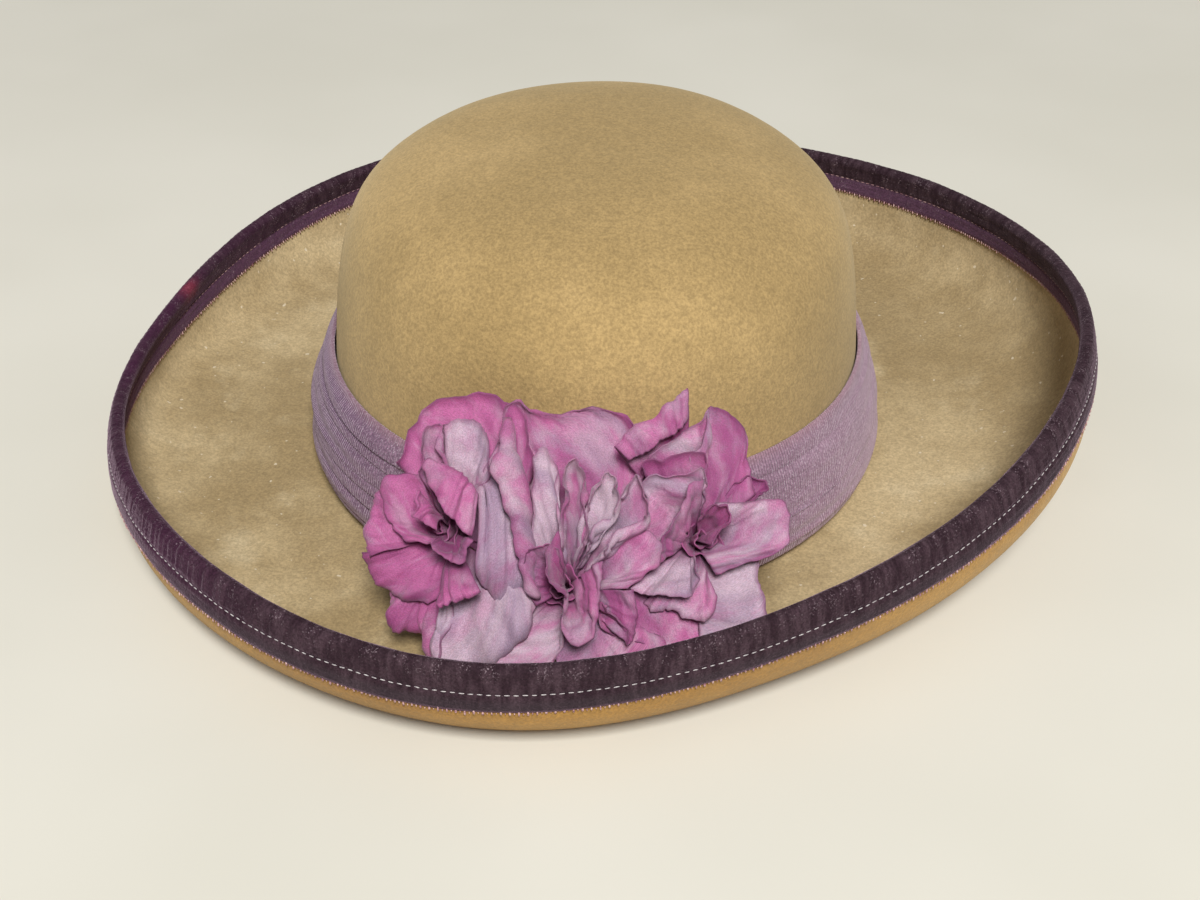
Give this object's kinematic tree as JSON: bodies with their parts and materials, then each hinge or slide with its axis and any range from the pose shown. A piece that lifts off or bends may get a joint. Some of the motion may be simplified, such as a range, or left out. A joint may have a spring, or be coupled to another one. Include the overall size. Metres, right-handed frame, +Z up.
{
  "type": "felt hat",
  "caption": "Wide-brim felt hat with a round crown, a turned-up brim bound in velvet ribbon, a pleated sheer band and fabric flowers at the front.",
  "frame": {"origin": "on the resting surface, under the middle of the brim's outline", "axes": "+Z up through the crown; +Y from the flowers toward the back of the hat; +X to the right of a viewer who faces the flowers"},
  "size_m": [0.327, 0.345, 0.1105],
  "materials": {
    "felt": "matte brushed wool felt",
    "velvet": "short-pile velvet",
    "chiffon": "sheer woven chiffon",
    "petal_silk": "dyed silk with a soft sheen",
    "flower_heart": "gathered dyed silk"
  },
  "bodies": {
    "root": {"felt_body": "felt", "brim_binding": "velvet", "hat_band": "chiffon", "left_heart": "flower_heart", "left_petal_1": "petal_silk", "left_petal_2": "petal_silk", "left_petal_3": "petal_silk", "left_petal_4": "petal_silk", "left_petal_5": "petal_silk", "left_petal_6": "petal_silk", "left_petal_7": "petal_silk", "left_petal_8": "petal_silk", "left_petal_9": "petal_silk", "left_petal_10": "petal_silk", "left_petal_11": "petal_silk", "middle_heart": "flower_heart", "middle_petal_1": "petal_silk", "middle_petal_2": "petal_silk", "middle_petal_3": "petal_silk", "middle_petal_4": "petal_silk", "middle_petal_5": "petal_silk", "middle_petal_6": "petal_silk", "middle_petal_7": "petal_silk", "middle_petal_8": "petal_silk", "middle_petal_9": "petal_silk", "middle_petal_10": "petal_silk", "right_heart": "flower_heart", "right_petal_1": "petal_silk", "right_petal_2": "petal_silk", "right_petal_3": "petal_silk", "right_petal_4": "petal_silk", "right_petal_5": "petal_silk", "right_petal_6": "petal_silk", "right_petal_7": "petal_silk", "right_petal_8": "petal_silk", "right_petal_9": "petal_silk", "right_petal_10": "petal_silk", "right_petal_11": "petal_silk"}
  },
  "joints": []
}
